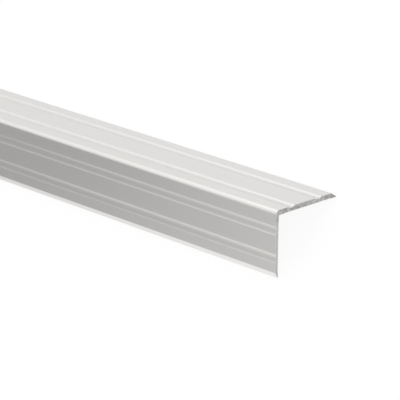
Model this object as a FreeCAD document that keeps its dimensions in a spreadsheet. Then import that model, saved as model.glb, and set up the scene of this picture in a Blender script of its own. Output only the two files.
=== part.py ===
import FreeCAD
import Part
import Sketcher

import math
import os

# Corner trim: one aluminium extrusion that caps the outside corner of a stair, step or board.
# Its section is an angle, drawn with the wide leg on top and the narrow leg in front, so that
# their outer faces meet at the origin. The stock runs along X. It is then laid down as it
# comes to rest, with the corner up and the two free edges on the floor.

NODE = "corner_trim"
LEGS = ("wide_leg", "narrow_leg")

# Driving sizes in millimetres. Distances along a leg start at the other leg's outer face.
SIZES = {
    "stock_length": 900.0,
    "wide_leg_width": 24.5,
    "wide_leg_wall": 1.6,
    "wide_leg_bevel": 2.1,
    "wide_leg_first_groove": 6.2,
    "wide_leg_groove_spacing": 10.8,
    "wide_leg_groove_width": 2.7,
    "wide_leg_groove_depth": 0.42,
    "narrow_leg_width": 20.0,
    "narrow_leg_wall": 1.2,
    "narrow_leg_bevel": 1.7,
    "narrow_leg_first_groove": 5.95,
    "narrow_leg_groove_spacing": 8.15,
    "narrow_leg_groove_width": 2.7,
    "narrow_leg_groove_depth": 0.32,
    "outer_corner_radius": 1.5,
    "inner_corner_radius": 0.3,
    "free_edge_land": 0.2,
    "glue_notch_pitch": 0.66,
    "glue_notch_width": 0.5,
    "glue_notch_depth": 0.25,
    "plain_strip": 2.0,
}
GROOVES_PER_LEG = 2

# How a constraint names an element's points. The sketch's origin is the start of its own axis.
START, END, CENTRE = range(1, 4)
ORIGIN = -1


def add_sheet(doc):
    sheet = doc.addObject("Spreadsheet::Sheet", "sizes")
    for row, (name, value) in enumerate(SIZES.items(), start=1):
        sheet.set(f"A{row}", name)
        sheet.set(f"B{row}", str(value))
        sheet.setAlias(f"B{row}", name)
    doc.recompute()


def other_leg(leg):
    return LEGS[1 - LEGS.index(leg)]


def add_cross_sketch(body, name):
    """A sketch across the stock: its x axis is the body's Y and its y axis the body's Z."""
    plane = next(item for item in body.Origin.OriginFeatures if item.Role == "YZ_Plane")
    sketch = body.newObject("Sketcher::SketchObject", name)
    sketch.AttachmentSupport = [(plane, "")]
    sketch.MapMode = "FlatFace"
    return sketch


def add_leg_sketch(body, leg, name):
    """A sketch across the stock in the leg's own directions: x runs along its outer face from
    the corner and y points out of that face. The narrow leg's is the wide leg's turned over
    the diagonal of the corner."""
    sketch = add_cross_sketch(body, f"{leg}_{name}")
    if leg == "narrow_leg":
        turned_over = FreeCAD.Rotation(FreeCAD.Vector(1, -1, 0), 180)
        sketch.AttachmentOffset = FreeCAD.Placement(FreeCAD.Vector(), turned_over)
    return sketch


def bind(sketch, expression, *constraint):
    """Adds a dimension to the sketch and ties it to an expression on the sheet."""
    index = sketch.addConstraint(Sketcher.Constraint(*constraint))
    sketch.setExpression(f"Constraints[{index}]", expression)


def add_line(sketch, start, end):
    start_point = FreeCAD.Vector(*start, 0)
    end_point = FreeCAD.Vector(*end, 0)
    return sketch.addGeometry(Part.LineSegment(start_point, end_point), False)


def add_corner_arc(sketch, centre, radius):
    """The quarter circle at the upper left of its centre, from its top round to its left."""
    circle = Part.Circle(FreeCAD.Vector(*centre, 0), FreeCAD.Vector(0, 0, 1), radius)
    quarter = Part.ArcOfCircle(circle, math.pi / 2, math.pi)
    return sketch.addGeometry(quarter, False)


def join_ends(sketch, elements):
    """Joins each element's end to the next one's start."""
    for before, after in zip(elements, elements[1:]):
        sketch.addConstraint(Sketcher.Constraint("Coincident", before, END, after, START))


def draw_angle(sketch):
    """The plain angle: two walls, a rounded corner, and bevels that thin each free edge."""
    width = SIZES["wide_leg_width"]
    height = SIZES["narrow_leg_width"]
    wide_wall = SIZES["wide_leg_wall"]
    narrow_wall = SIZES["narrow_leg_wall"]
    wide_bevel_width = SIZES["wide_leg_bevel"]
    narrow_bevel_width = SIZES["narrow_leg_bevel"]
    outer_radius = SIZES["outer_corner_radius"]
    inner_radius = SIZES["inner_corner_radius"]
    land = SIZES["free_edge_land"]

    wide_bevel_start = (width - wide_bevel_width, 0)
    wide_bevel_end = (width, land - wide_wall)
    wide_edge = (width, -wide_wall)
    wide_inside_end = (narrow_wall + inner_radius, -wide_wall)
    inner_centre = (narrow_wall + inner_radius, -wide_wall - inner_radius)
    narrow_inside_start = (narrow_wall, -wide_wall - inner_radius)
    narrow_edge = (narrow_wall, -height)
    narrow_bevel_end = (narrow_wall - land, -height)
    narrow_bevel_start = (0, narrow_bevel_width - height)

    top_face = add_line(sketch, (outer_radius, 0), wide_bevel_start)
    wide_bevel = add_line(sketch, wide_bevel_start, wide_bevel_end)
    wide_land = add_line(sketch, wide_bevel_end, wide_edge)
    wide_inside = add_line(sketch, wide_edge, wide_inside_end)
    inner_corner = add_corner_arc(sketch, inner_centre, inner_radius)
    narrow_inside = add_line(sketch, narrow_inside_start, narrow_edge)
    narrow_land = add_line(sketch, narrow_edge, narrow_bevel_end)
    narrow_bevel = add_line(sketch, narrow_bevel_end, narrow_bevel_start)
    front_face = add_line(sketch, narrow_bevel_start, (0, -outer_radius))
    outer_corner = add_corner_arc(sketch, (outer_radius, -outer_radius), outer_radius)

    join_ends(sketch, (top_face, wide_bevel, wide_land, wide_inside))
    join_ends(sketch, (narrow_inside, narrow_land, narrow_bevel, front_face))
    smooth_joins = (
        (wide_inside, END, inner_corner, START),
        (inner_corner, END, narrow_inside, START),
        (front_face, END, outer_corner, END),
        (outer_corner, START, top_face, START),
    )
    for join in smooth_joins:
        sketch.addConstraint(Sketcher.Constraint("Tangent", *join))

    for level in (top_face, wide_inside, narrow_land):
        sketch.addConstraint(Sketcher.Constraint("Horizontal", level))
    for upright in (wide_land, narrow_inside, front_face):
        sketch.addConstraint(Sketcher.Constraint("Vertical", upright))
    for direction, face in (("Horizontal", top_face), ("Vertical", front_face)):
        sketch.addConstraint(Sketcher.Constraint(direction, ORIGIN, START, face, START))

    bind(sketch, "sizes.wide_leg_width",
         "DistanceX", ORIGIN, START, wide_land, START, width)
    bind(sketch, "sizes.narrow_leg_width",
         "DistanceY", narrow_land, START, ORIGIN, START, height)
    bind(sketch, "sizes.wide_leg_wall",
         "DistanceY", wide_inside, START, ORIGIN, START, wide_wall)
    bind(sketch, "sizes.narrow_leg_wall",
         "DistanceX", ORIGIN, START, narrow_inside, START, narrow_wall)
    bind(sketch, "sizes.wide_leg_bevel",
         "DistanceX", wide_bevel, START, wide_bevel, END, wide_bevel_width)
    bind(sketch, "sizes.narrow_leg_bevel",
         "DistanceY", narrow_bevel, START, narrow_bevel, END, narrow_bevel_width)
    bind(sketch, "sizes.free_edge_land",
         "DistanceY", wide_land, END, wide_land, START, land)
    bind(sketch, "sizes.free_edge_land",
         "DistanceX", narrow_land, END, narrow_land, START, land)
    bind(sketch, "sizes.outer_corner_radius",
         "Radius", outer_corner, outer_radius)
    bind(sketch, "sizes.inner_corner_radius",
         "Radius", inner_corner, inner_radius)


def draw_grip_groove(sketch, leg):
    """A round cutter over the leg's outer face. Its radius follows from the width and depth of
    the shallow trough that it leaves."""
    half_width = SIZES[f"{leg}_groove_width"] / 2
    depth = SIZES[f"{leg}_groove_depth"]
    along = SIZES[f"{leg}_first_groove"]
    radius = (half_width ** 2 + depth ** 2) / (2 * depth)
    depth_size = f"sizes.{leg}_groove_depth"
    radius_rule = (f"(pow(sizes.{leg}_groove_width / 2; 2) + pow({depth_size}; 2))"
                   f" / (2 * {depth_size})")

    centre = FreeCAD.Vector(along, radius - depth, 0)
    cutter = sketch.addGeometry(Part.Circle(centre, FreeCAD.Vector(0, 0, 1), radius), False)
    bind(sketch, radius_rule, "Radius", cutter, radius)
    bind(sketch, f"sizes.{leg}_first_groove",
         "DistanceX", ORIGIN, START, cutter, CENTRE, along)
    bind(sketch, f"{radius_rule} - {depth_size}",
         "DistanceY", ORIGIN, START, cutter, CENTRE, radius - depth)


def draw_glue_notch(sketch, leg):
    """A vee in the leg's inner face, just past the plain strip beside the inner corner."""
    width = SIZES["glue_notch_width"]
    depth = SIZES["glue_notch_depth"]
    inner_face = -SIZES[f"{leg}_wall"]
    near = SIZES[f"{other_leg(leg)}_wall"] + SIZES["plain_strip"]
    near_rim = (near, inner_face)
    far_rim = (near + width, inner_face)
    root = (near + width / 2, inner_face + depth)

    near_flank = add_line(sketch, near_rim, root)
    far_flank = add_line(sketch, root, far_rim)
    mouth = add_line(sketch, far_rim, near_rim)
    join_ends(sketch, (near_flank, far_flank, mouth, near_flank))
    sketch.addConstraint(Sketcher.Constraint("Horizontal", mouth))
    sketch.addConstraint(Sketcher.Constraint("Equal", near_flank, far_flank))
    bind(sketch, f"sizes.{other_leg(leg)}_wall + sizes.plain_strip",
         "DistanceX", ORIGIN, START, near_flank, START, near)
    bind(sketch, f"sizes.{leg}_wall",
         "DistanceY", near_flank, START, ORIGIN, START, -inner_face)
    bind(sketch, "sizes.glue_notch_width",
         "DistanceX", mouth, END, mouth, START, width)
    bind(sketch, "sizes.glue_notch_depth",
         "DistanceY", near_flank, START, near_flank, END, depth)


def cut_along_stock(doc, body, sketch, name):
    """Cuts the sketch's outline out of the whole length of the stock."""
    before = body.Shape.Volume
    cut = body.newObject("PartDesign::Pocket", name)
    cut.Profile = sketch
    cut.SideType = "Symmetric"
    cut.setExpression("Length", "sizes.stock_length")
    body.Tip = cut
    doc.recompute()
    if body.Shape.Volume >= before:
        raise RuntimeError(f"{name} cuts nothing")
    return cut


def repeat_across_leg(doc, body, cut, name, spacing, count):
    """Repeats a cut away from the corner, along the x axis of its own sketch."""
    before = body.Shape.Volume
    pattern = body.newObject("PartDesign::LinearPattern", name)
    pattern.Originals = [cut]
    pattern.Direction = (cut.Profile[0], ["H_Axis"])
    pattern.Mode = "Spacing"
    pattern.setExpression("Offset", spacing)
    pattern.setExpression("Occurrences", count)
    body.Tip = pattern
    doc.recompute()
    if body.Shape.Volume >= before:
        raise RuntimeError(f"{name} repeats nothing")


def add_grip_grooves(doc, body, leg):
    """Shallow round troughs in the outer face, which keep a foot from sliding."""
    sketch = add_leg_sketch(body, leg, "groove_outline")
    draw_grip_groove(sketch, leg)
    groove = cut_along_stock(doc, body, sketch, f"{leg}_groove")
    repeat_across_leg(doc, body, groove, f"{leg}_grooves",
                      f"sizes.{leg}_groove_spacing", str(GROOVES_PER_LEG))


def add_glue_notches(doc, body, leg):
    """Fine vees across the inner face, which key the glue. They fill the face between two
    plain strips, one beside the inner corner and one beside the free edge."""
    sketch = add_leg_sketch(body, leg, "notch_outline")
    draw_glue_notch(sketch, leg)
    notch = cut_along_stock(doc, body, sketch, f"{leg}_notch")
    last_start = (f"(sizes.{leg}_width - sizes.{other_leg(leg)}_wall"
                  " - 2 * sizes.plain_strip - sizes.glue_notch_width)")
    repeat_across_leg(doc, body, notch, f"{leg}_notches",
                      "sizes.glue_notch_pitch",
                      f"floor({last_start} / sizes.glue_notch_pitch) + 1")


def lay_on_free_edges(body):
    """Turns the angle about X until its free edges are level, then puts them on the floor
    and centres the stock over the origin."""
    tilt = ("atan2(sizes.narrow_leg_width - sizes.wide_leg_wall;"
            " sizes.wide_leg_width - sizes.narrow_leg_wall)")
    narrow_side = (f"(sizes.narrow_leg_wall - sizes.free_edge_land) * cos({tilt})"
                   f" - sizes.narrow_leg_width * sin({tilt})")
    wide_side = (f"sizes.wide_leg_width * cos({tilt})"
                 f" - (sizes.wide_leg_wall - sizes.free_edge_land) * sin({tilt})")
    corner_height = (f"sizes.narrow_leg_wall * sin({tilt})"
                     f" + sizes.narrow_leg_width * cos({tilt})")
    quarter_turn = FreeCAD.Rotation(FreeCAD.Vector(1, 0, 0), 90)
    body.Placement = FreeCAD.Placement(FreeCAD.Vector(), quarter_turn)
    body.setExpression("Placement.Rotation.Angle", f"-({tilt})")
    body.setExpression("Placement.Base.y", f"-({narrow_side} + {wide_side}) / 2")
    body.setExpression("Placement.Base.z", corner_height)


def build_trim(doc):
    body = doc.addObject("PartDesign::Body", "trim")
    body.Label = NODE
    outline = add_cross_sketch(body, "angle_outline")
    draw_angle(outline)
    stock = body.newObject("PartDesign::Pad", "stock")
    stock.Profile = outline
    stock.SideType = "Symmetric"
    stock.setExpression("Length", "sizes.stock_length")
    body.Tip = stock
    doc.recompute()
    for leg in LEGS:
        add_grip_grooves(doc, body, leg)
        add_glue_notches(doc, body, leg)
    lay_on_free_edges(body)
    doc.recompute()
    return body


def check(doc, body):
    for item in doc.Objects:
        if "Invalid" in item.State or "Error" in item.State:
            raise RuntimeError(f"{item.Label} failed: {item.State}")
    if body.Shape.isNull() or not body.Shape.isValid():
        raise RuntimeError(f"{body.Label} has no valid shape")
    if len(body.Shape.Solids) != 1:
        raise RuntimeError(f"{body.Label} is not one solid")


doc = FreeCAD.newDocument(NODE)
add_sheet(doc)
trim = build_trim(doc)
check(doc, trim)
os.makedirs("parts", exist_ok=True)
trim.Shape.exportStep(f"parts/{trim.Label}.step")
print(trim.Label, trim.Shape.BoundBox, "volume", trim.Shape.Volume)
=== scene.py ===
import math

import bmesh
import bpy
from mathutils import Matrix, Vector


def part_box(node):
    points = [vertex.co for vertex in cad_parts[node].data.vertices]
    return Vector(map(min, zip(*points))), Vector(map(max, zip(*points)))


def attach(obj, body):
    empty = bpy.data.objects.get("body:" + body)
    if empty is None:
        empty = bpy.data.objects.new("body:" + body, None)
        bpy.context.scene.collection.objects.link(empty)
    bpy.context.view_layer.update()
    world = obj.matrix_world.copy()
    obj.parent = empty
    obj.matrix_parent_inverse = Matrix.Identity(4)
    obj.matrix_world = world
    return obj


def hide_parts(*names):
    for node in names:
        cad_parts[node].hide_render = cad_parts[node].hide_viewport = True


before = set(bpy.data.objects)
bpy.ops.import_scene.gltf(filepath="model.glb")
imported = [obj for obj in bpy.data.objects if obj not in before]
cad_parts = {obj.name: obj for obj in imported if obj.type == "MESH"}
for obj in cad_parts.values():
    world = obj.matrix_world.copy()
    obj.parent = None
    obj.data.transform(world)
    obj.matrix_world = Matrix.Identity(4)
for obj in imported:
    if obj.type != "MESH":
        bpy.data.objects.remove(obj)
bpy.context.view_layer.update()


# The trim is one length of aluminium, pressed hot through a die that gives it two thin walls, a
# rounded corner, grip grooves outside and glue notches inside. It is stretched straight, given a
# satin silver anodising, and lies with its corner up and both free edges on the floor.

MM = 0.001
WIDE_LEG = {
    "width": 24.5 * MM,
    "wall": 1.6 * MM,
    "bevel": 2.1 * MM,
    "grooves": (6.2 * MM, 17.0 * MM),
    "groove_width": 2.7 * MM,
    "groove_depth": 0.42 * MM,
}
NARROW_LEG = {
    "width": 20.0 * MM,
    "wall": 1.2 * MM,
    "bevel": 1.7 * MM,
    "grooves": (5.95 * MM, 14.1 * MM),
    "groove_width": 2.7 * MM,
    "groove_depth": 0.32 * MM,
}
OUTER_CORNER_RADIUS = 1.5 * MM
INNER_CORNER_RADIUS = 0.3 * MM
FREE_EDGE_LAND = 0.2 * MM
RIM_RADIUS = 0.2 * MM
NOTCH_PITCH = 0.66 * MM
NOTCH_WIDTH = 0.5 * MM
NOTCH_DEPTH = 0.25 * MM
PLAIN_STRIP = 2.0 * MM
ROUNDING_DIGITS = 6
STATION_SPACING = 25 * MM
SAWN_ARRIS = 0.05 * MM
SAW_CUT_MATERIAL = 1
CORNER_STEPS = 16
TROUGH_STEPS = 14
RIM_STEPS = 6
SHARP_EDGE = math.radians(30)

trim_low, trim_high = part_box("corner_trim")


def arc(along, depth, radius, start, end, steps):
    """Points on a circle round (along, depth), by the angle from the way into the metal."""
    angles = [start + (end - start) * step / steps for step in range(steps + 1)]
    return [(along + radius * math.sin(a), depth + radius * math.cos(a)) for a in angles]


def groove(along, width, deep):
    """A shallow round trough with softened rims, as (along the leg, depth below its face)."""
    radius = ((width / 2) ** 2 + deep ** 2) / (2 * deep)
    centre_depth = deep - radius
    reach = math.sqrt((radius + RIM_RADIUS) ** 2 - (RIM_RADIUS - centre_depth) ** 2)
    slope = math.asin(reach / (radius + RIM_RADIUS))
    near_rim = arc(along - reach, RIM_RADIUS, RIM_RADIUS, math.pi, math.pi - slope, RIM_STEPS)
    trough = arc(along, centre_depth, radius, -slope, slope, TROUGH_STEPS)
    far_rim = arc(along + reach, RIM_RADIUS, RIM_RADIUS, math.pi + slope, math.pi, RIM_STEPS)
    return near_rim[:-1] + trough + far_rim[1:]


def leg_outline(leg, other_leg):
    """One leg from the outer corner, over its grooves and bevelled free edge, and back along
    the notches of its inner face to the inner corner."""
    outline = []
    for along in leg["grooves"]:
        outline += groove(along, leg["groove_width"], leg["groove_depth"])
    bevel_slope = math.atan2(leg["wall"] - FREE_EDGE_LAND, leg["bevel"])
    bevel_start = leg["width"] - leg["bevel"] - RIM_RADIUS * math.tan(bevel_slope / 2)
    outline += arc(bevel_start, RIM_RADIUS, RIM_RADIUS, math.pi, math.pi - bevel_slope, RIM_STEPS)
    outline.append((leg["width"], leg["wall"] - FREE_EDGE_LAND))
    outline.append((leg["width"], leg["wall"]))
    first_notch = other_leg["wall"] + PLAIN_STRIP
    last_start = leg["width"] - PLAIN_STRIP - NOTCH_WIDTH
    pitches = round((last_start - first_notch) / NOTCH_PITCH, ROUNDING_DIGITS)
    notches = math.floor(pitches) + 1
    for notch in reversed(range(notches)):
        near = first_notch + notch * NOTCH_PITCH
        outline.append((near + NOTCH_WIDTH, leg["wall"]))
        outline.append((near + NOTCH_WIDTH / 2, leg["wall"] - NOTCH_DEPTH))
        outline.append((near, leg["wall"]))
    return outline


def angle_outline():
    """The whole section upright: the wide leg along +y on top, the narrow leg down the front."""
    wide = [(along, -depth) for along, depth in leg_outline(WIDE_LEG, NARROW_LEG)]
    narrow = [(depth, -along) for along, depth in leg_outline(NARROW_LEG, WIDE_LEG)]
    outer_corner = arc(OUTER_CORNER_RADIUS, -OUTER_CORNER_RADIUS, OUTER_CORNER_RADIUS,
                       -math.pi / 2, 0, CORNER_STEPS)
    inner_corner = arc(NARROW_LEG["wall"] + INNER_CORNER_RADIUS,
                       -WIDE_LEG["wall"] - INNER_CORNER_RADIUS,
                       INNER_CORNER_RADIUS, 0, -math.pi / 2, CORNER_STEPS)
    return outer_corner + wide + inner_corner + narrow[::-1]


TILT = math.atan2(NARROW_LEG["width"] - WIDE_LEG["wall"], WIDE_LEG["width"] - NARROW_LEG["wall"])
lie_down = Matrix.Rotation(-TILT, 3, "X")
turned = [lie_down @ Vector((0, y, z)) for y, z in angle_outline()]
outer_corner_line = Vector((
    0,
    trim_low.y - min(point.y for point in turned),
    trim_low.z - min(point.z for point in turned),
))
section = [point + outer_corner_line for point in turned]


def shrunk(outline, distance):
    """The section with every point moved into the metal, for the broken edge of a saw cut."""
    moved = []
    for index, point in enumerate(outline):
        before = outline[index - 1]
        after = outline[(index + 1) % len(outline)]
        tangent = (after - before).normalized()
        inward = Vector((0, tangent.z, -tangent.y))
        moved.append(point + inward * distance)
    return moved


def put_in_scene(name, data):
    """A new object with this data, linked to the scene."""
    thing = bpy.data.objects.new(name, data)
    bpy.context.scene.collection.objects.link(thing)
    return thing


def extrude_trim():
    """The section drawn along x as one closed mesh, with the edges of both saw cuts broken."""
    mesh = bmesh.new()
    broken = shrunk(section, SAWN_ARRIS)
    bays = round((trim_high.x - trim_low.x) / STATION_SPACING)
    first = trim_low.x + SAWN_ARRIS
    last = trim_high.x - SAWN_ARRIS
    stations = [first + (last - first) * bay / bays for bay in range(bays + 1)]
    rings = [(trim_low.x, broken)]
    rings += [(x, section) for x in stations]
    rings.append((trim_high.x, broken))
    along = Vector((1, 0, 0))
    loops = [[mesh.verts.new(point + along * x) for point in outline] for x, outline in rings]
    for near, far in zip(loops, loops[1:]):
        for index in range(len(near)):
            mesh.faces.new((near[index - 1], near[index], far[index], far[index - 1]))
    far_cut = mesh.faces.new(loops[0])
    near_cut = mesh.faces.new(loops[-1][::-1])
    for cut in (far_cut, near_cut):
        cut.material_index = SAW_CUT_MATERIAL
    bmesh.ops.recalc_face_normals(mesh, faces=mesh.faces)
    bmesh.ops.triangulate(mesh, faces=[far_cut, near_cut])
    data = bpy.data.meshes.new("corner_trim_extrusion")
    mesh.to_mesh(data)
    mesh.free()
    for face in data.polygons:
        face.use_smooth = True
    data.set_sharp_from_angle(angle=SHARP_EDGE)
    trim = put_in_scene("corner_trim_extrusion", data)
    even = trim.modifiers.new("even_shading", "WEIGHTED_NORMAL")
    even.mode = "FACE_AREA"
    even.keep_sharp = True
    return trim


ANODISED_COLOUR = (0.868, 0.855, 0.835, 1)
ANODISED_DARKER = (0.838, 0.825, 0.805, 1)
ANODISED_ROUGHNESS = (0.34, 0.4)
DIE_LINES_PER_METRE = (6, 4200, 4200)
DIE_LINE_DETAIL = 3.0
DIE_LINE_HEIGHT = 0.004 * MM
CLOUDS_PER_METRE = (14, 60, 60)
CLOUD_DETAIL = 2.0


def node_material(name):
    """A new material, with its nodes and their links."""
    material = bpy.data.materials.new(name)
    material.use_nodes = True
    return material, material.node_tree.nodes, material.node_tree.links


def stretched_noise(nodes, links, scale, detail, shift=(0, 0, 0)):
    """Noise in the trim's own place, stretched by a scale for each direction."""
    place = nodes.new("ShaderNodeTexCoord")
    stretch = nodes.new("ShaderNodeMapping")
    stretch.inputs["Scale"].default_value = scale
    stretch.inputs["Location"].default_value = shift
    noise = nodes.new("ShaderNodeTexNoise")
    noise.inputs["Scale"].default_value = 1.0
    noise.inputs["Detail"].default_value = detail
    links.new(place.outputs["Object"], stretch.inputs["Vector"])
    links.new(stretch.outputs["Vector"], noise.inputs["Vector"])
    return noise.outputs["Fac"]


def value_range(nodes, links, value, start, end, low, high):
    """The value moved from start..end to low..high."""
    moved = nodes.new("ShaderNodeMapRange")
    moved.inputs["From Min"].default_value = start
    moved.inputs["From Max"].default_value = end
    moved.inputs["To Min"].default_value = low
    moved.inputs["To Max"].default_value = high
    links.new(value, moved.inputs["Value"])
    return moved.outputs["Result"]


def mixed_colour(nodes, links, share, first, second):
    """A mix of two colours, each a fixed value or another node's output."""
    mix = nodes.new("ShaderNodeMix")
    mix.data_type = "RGBA"
    links.new(share, mix.inputs["Factor"])
    for socket, colour in (("A", first), ("B", second)):
        if isinstance(colour, bpy.types.NodeSocket):
            links.new(colour, mix.inputs[socket])
        else:
            mix.inputs[socket].default_value = colour
    return mix.outputs["Result"]


def raised(nodes, links, height, distance):
    """The normal of a surface that a value of 0 to 1 raises by up to the distance."""
    relief = nodes.new("ShaderNodeBump")
    relief.inputs["Strength"].default_value = 1.0
    relief.inputs["Distance"].default_value = distance
    links.new(height, relief.inputs["Height"])
    return relief.outputs["Normal"]


def satin_anodising():
    """Etched and anodised skin: fine die lines along the stock under an even satin grey."""
    material, nodes, links = node_material("satin_silver_anodising")
    skin = nodes["Principled BSDF"]
    skin.distribution = "GGX"
    skin.inputs["Metallic"].default_value = 1.0

    die_lines = stretched_noise(nodes, links, DIE_LINES_PER_METRE, DIE_LINE_DETAIL)
    clouds = stretched_noise(nodes, links, CLOUDS_PER_METRE, CLOUD_DETAIL)
    colour = mixed_colour(nodes, links, clouds, ANODISED_DARKER, ANODISED_COLOUR)
    roughness = value_range(nodes, links, die_lines, 0, 1, *ANODISED_ROUGHNESS)
    normal = raised(nodes, links, die_lines, DIE_LINE_HEIGHT)
    links.new(colour, skin.inputs["Base Color"])
    links.new(roughness, skin.inputs["Roughness"])
    links.new(normal, skin.inputs["Normal"])
    return material


SAWN_COLOUR = (0.53, 0.524, 0.514, 1)
SAWN_DARKER = (0.315, 0.311, 0.305, 1)
SAWN_BRIGHTER = (0.55, 0.544, 0.534, 1)
SAWN_ROUGHNESS = 0.42
SAWN_PATCHES_PER_METRE = (850, 850, 850)
SAWN_PATCH_DETAIL = 3.0
SAWN_PATCHES_SHIFT = (2.1, 0.9, 3.6)
SAWN_PATCH_LEVELS = (0.36, 0.64)
BRIGHT_CUT_FROM = -2 * MM
BRIGHT_CUT_FULL = -8 * MM
BRIGHT_CUT_SHARE = 0.7
SAW_MARKS_PER_METRE = (900, 900, 260)
SAW_MARK_DETAIL = 3.0
SAW_MARK_HEIGHT = 0.01 * MM


def place_along(nodes, links, axis):
    """The place along one axis, in metres from the middle of the trim."""
    place = nodes.new("ShaderNodeTexCoord")
    split = nodes.new("ShaderNodeSeparateXYZ")
    links.new(place.outputs["Object"], split.inputs["Vector"])
    return split.outputs[axis]


def bare_saw_cut():
    """The bare metal of a sawn end, dulled in patches and crossed by the blade's marks. It is
    brighter towards the narrow leg."""
    material, nodes, links = node_material("bare_saw_cut")
    metal = nodes["Principled BSDF"]
    metal.inputs["Metallic"].default_value = 1.0
    metal.inputs["Roughness"].default_value = SAWN_ROUGHNESS

    noise = stretched_noise(
        nodes, links, SAWN_PATCHES_PER_METRE, SAWN_PATCH_DETAIL, SAWN_PATCHES_SHIFT)
    patches = value_range(nodes, links, noise, *SAWN_PATCH_LEVELS, 0, 1)
    patchy = mixed_colour(nodes, links, patches, SAWN_DARKER, SAWN_COLOUR)
    across = place_along(nodes, links, "Y")
    narrow_side = value_range(
        nodes, links, across, BRIGHT_CUT_FROM, BRIGHT_CUT_FULL, 0, BRIGHT_CUT_SHARE)
    colour = mixed_colour(nodes, links, narrow_side, patchy, SAWN_BRIGHTER)
    saw_marks = stretched_noise(nodes, links, SAW_MARKS_PER_METRE, SAW_MARK_DETAIL)
    normal = raised(nodes, links, saw_marks, SAW_MARK_HEIGHT)
    links.new(colour, metal.inputs["Base Color"])
    links.new(normal, metal.inputs["Normal"])
    return material


trim = extrude_trim()
trim.data.materials.append(satin_anodising())
trim.data.materials.append(bare_saw_cut())
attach(trim, "root")
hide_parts("corner_trim")


# The floor is a wide sheet of matt white board. It is seen as plain white, by the eye and in the
# metal, and the trim's shadow on it stays as a light grey.

FLOOR_HALF_SIZE = 8.0
FLOOR_COLOUR = (0.96, 0.96, 0.96, 1)
FLOOR_PLAINNESS = 0.9


def seen_directly(nodes, links):
    """1 for what the camera sees, straight or in gloss or glass, and 0 for light that is
    scattered on the way."""
    path = nodes.new("ShaderNodeLightPath")
    seen = path.outputs["Is Camera Ray"]
    for kind in ("Is Glossy Ray", "Is Transmission Ray"):
        either = nodes.new("ShaderNodeMath")
        either.operation = "MAXIMUM"
        links.new(seen, either.inputs[0])
        links.new(path.outputs[kind], either.inputs[1])
        seen = either.outputs["Value"]
    return seen


def white_board():
    """Matt white board that is seen as nearly plain white."""
    material, nodes, links = node_material("white_board")
    nodes.remove(nodes["Principled BSDF"])
    matt = nodes.new("ShaderNodeBsdfDiffuse")
    matt.inputs["Color"].default_value = FLOOR_COLOUR
    plain = nodes.new("ShaderNodeEmission")
    share = nodes.new("ShaderNodeMath")
    share.operation = "MULTIPLY"
    share.inputs[1].default_value = FLOOR_PLAINNESS
    mix = nodes.new("ShaderNodeMixShader")
    links.new(seen_directly(nodes, links), share.inputs[0])
    links.new(share.outputs["Value"], mix.inputs["Fac"])
    links.new(matt.outputs["BSDF"], mix.inputs[1])
    links.new(plain.outputs["Emission"], mix.inputs[2])
    links.new(mix.outputs["Shader"], nodes["Material Output"].inputs["Surface"])
    return material


floor_data = bpy.data.meshes.new("floor")
floor_corners = [(sx * FLOOR_HALF_SIZE, sy * FLOOR_HALF_SIZE, trim_low.z)
                 for sx, sy in ((-1, -1), (1, -1), (1, 1), (-1, 1))]
floor_data.from_pydata(floor_corners, [], [(0, 1, 2, 3)])
floor_data.materials.append(white_board())
floor = put_in_scene("floor", floor_data)


# The studio is a white room with one soft lamp above the wide leg. Grey cards lie and stand in
# front of the narrow leg, behind the wide one, past the near end and overhead. Only the metal
# sees them, as its darker reflections.

ROOM_WHITE = (1, 1, 1, 1)
LAMP_CENTRE = (0.375, 0.445, 0.36)
LAMP_SIZE = (0.53, 0.78)
LAMP_GLOW = 0.5
CARD_ENDS = (-0.9, 0.9)
FRONT_CARD_ENDS = (-0.9, 0.68)
CARD_DARK_FROM = 0.28
CARD_LIGHT_FROM = 0.5
FRONT_CARD_NEAR = -0.0185
FRONT_CARD_FAR = -0.084
FRONT_CARD_HEIGHT = 0.104
FRONT_CARD_HEIGHT_AT = 0.36
FRONT_CARD_FALL = 0.32
LYING_CARD_GREYS = (0.475, 1.03)
UPRIGHT_CARD_GREYS = (0.41, 0.775)
BACK_CARD_PLACE = 0.46
BACK_CARD_HEIGHTS = (0.081, 0.081)
BACK_CARD_GREYS = (0.645, 0.645)
FOOT_CARD_NEAR = -0.0152
FOOT_CARD_GREYS = (0.85, 1.13)
END_CARD_PLACE = 4.0
CEILING_START = -1.8
CEILING_HEIGHT = 4.0
CEILING_HALF_WIDTH = 4.0
CEILING_GREYS = (0.74, 0.74)
CARD_LIFT = 0.0001

world = bpy.data.worlds.new("white_room")
bpy.context.scene.world = world
world.use_nodes = True
world.node_tree.nodes["Background"].inputs["Color"].default_value = ROOM_WHITE


def soft_lamp(name, centre, size, glow):
    """A rectangular soft lamp that faces down. Its face outshines the white room by glow."""
    light = bpy.data.lights.new(name, "AREA")
    light.shape = "RECTANGLE"
    light.size, light.size_y = size
    light.energy = math.pi * size[0] * size[1] * glow
    lamp = put_in_scene(name, light)
    lamp.location = centre


soft_lamp("soft_lamp", LAMP_CENTRE, LAMP_SIZE, LAMP_GLOW)


def card_grey(name, greys):
    """A grey for each end of a card, or one even grey where the two are the same."""
    material, nodes, links = node_material(name)
    nodes.remove(nodes["Principled BSDF"])
    grey = nodes.new("ShaderNodeEmission")
    far_grey, near_grey = greys
    if far_grey == near_grey:
        grey.inputs["Strength"].default_value = far_grey
    else:
        along = place_along(nodes, links, "X")
        shade = value_range(nodes, links, along, CARD_DARK_FROM, CARD_LIGHT_FROM, *greys)
        links.new(shade, grey.inputs["Strength"])
    links.new(grey.outputs["Emission"], nodes["Material Output"].inputs["Surface"])
    return material


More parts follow.
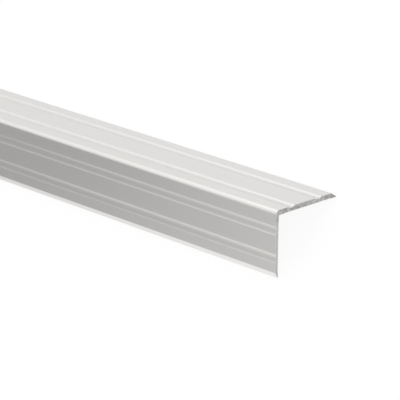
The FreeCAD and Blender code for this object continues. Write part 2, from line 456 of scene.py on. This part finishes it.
def card(name, corners, greys):
    """A flat card with the given corners, seen only in reflections."""
    data = bpy.data.meshes.new(name)
    data.from_pydata(corners, [], [(0, 1, 2, 3)])
    data.materials.append(card_grey(name, greys))
    piece = put_in_scene(name, data)
    piece.visible_camera = False
    piece.visible_diffuse = False
    piece.visible_shadow = False


def lying_card(name, near, far, greys):
    """A card that lies on the floor along the trim."""
    left, right = CARD_ENDS
    card(name, (
        (left, near, CARD_LIFT),
        (right, near, CARD_LIFT),
        (right, far, CARD_LIFT),
        (left, far, CARD_LIFT),
    ), greys)


def upright_card(name, ends, place, heights, greys):
    """A card that stands on the floor along the trim, with a height for each end."""
    left, right = ends
    left_height, right_height = heights
    card(name, (
        (left, place, 0),
        (right, place, 0),
        (right, place, right_height),
        (left, place, left_height),
    ), greys)


front_heights = [
    FRONT_CARD_HEIGHT - FRONT_CARD_FALL * (end - FRONT_CARD_HEIGHT_AT) for end in FRONT_CARD_ENDS]
lying_card("lying_card", FRONT_CARD_NEAR, FRONT_CARD_FAR, LYING_CARD_GREYS)
upright_card("upright_card", FRONT_CARD_ENDS, FRONT_CARD_FAR, front_heights, UPRIGHT_CARD_GREYS)
lying_card("foot_card", FOOT_CARD_NEAR, FRONT_CARD_NEAR, FOOT_CARD_GREYS)
card("end_card", (
    (END_CARD_PLACE, -CEILING_HALF_WIDTH, 0),
    (END_CARD_PLACE, CEILING_HALF_WIDTH, 0),
    (END_CARD_PLACE, CEILING_HALF_WIDTH, CEILING_HEIGHT),
    (END_CARD_PLACE, -CEILING_HALF_WIDTH, CEILING_HEIGHT),
), CEILING_GREYS)
card("ceiling_card", (
    (CEILING_START, -CEILING_HALF_WIDTH, CEILING_HEIGHT),
    (END_CARD_PLACE, -CEILING_HALF_WIDTH, CEILING_HEIGHT),
    (END_CARD_PLACE, CEILING_HALF_WIDTH, CEILING_HEIGHT),
    (CEILING_START, CEILING_HALF_WIDTH, CEILING_HEIGHT),
), CEILING_GREYS)
upright_card("back_card", CARD_ENDS, BACK_CARD_PLACE, BACK_CARD_HEIGHTS, BACK_CARD_GREYS)


# The camera stands where it sees the near end of the trim with the wide leg level and the narrow
# leg upright, so it is tilted over with the trim.

LENS = 209.46
VIEW_TURN = math.radians(45.49)
VIEW_DROP = math.radians(18.82)
VIEW_ROLL = math.radians(0.378)
NEAR_CORNER_RIGHT = 20.90 * MM
NEAR_CORNER_UP = -3.0 * MM
NEAR_CORNER_AHEAD = 639.47 * MM

camera_data = bpy.data.cameras.new("camera")
camera_data.lens = LENS
camera = put_in_scene("camera", camera_data)
turn = (lie_down
        @ Matrix.Rotation(VIEW_TURN, 3, "Z")
        @ Matrix.Rotation(math.pi / 2 - VIEW_DROP, 3, "X")
        @ Matrix.Rotation(VIEW_ROLL, 3, "Z"))
near_corner = Vector((trim_high.x, outer_corner_line.y, outer_corner_line.z))
seen_from_camera = Vector((NEAR_CORNER_RIGHT, NEAR_CORNER_UP, -NEAR_CORNER_AHEAD))
camera.matrix_world = Matrix.Translation(near_corner - turn @ seen_from_camera) @ turn.to_4x4()
bpy.context.scene.camera = camera
bpy.context.scene.view_settings.view_transform = "Standard"
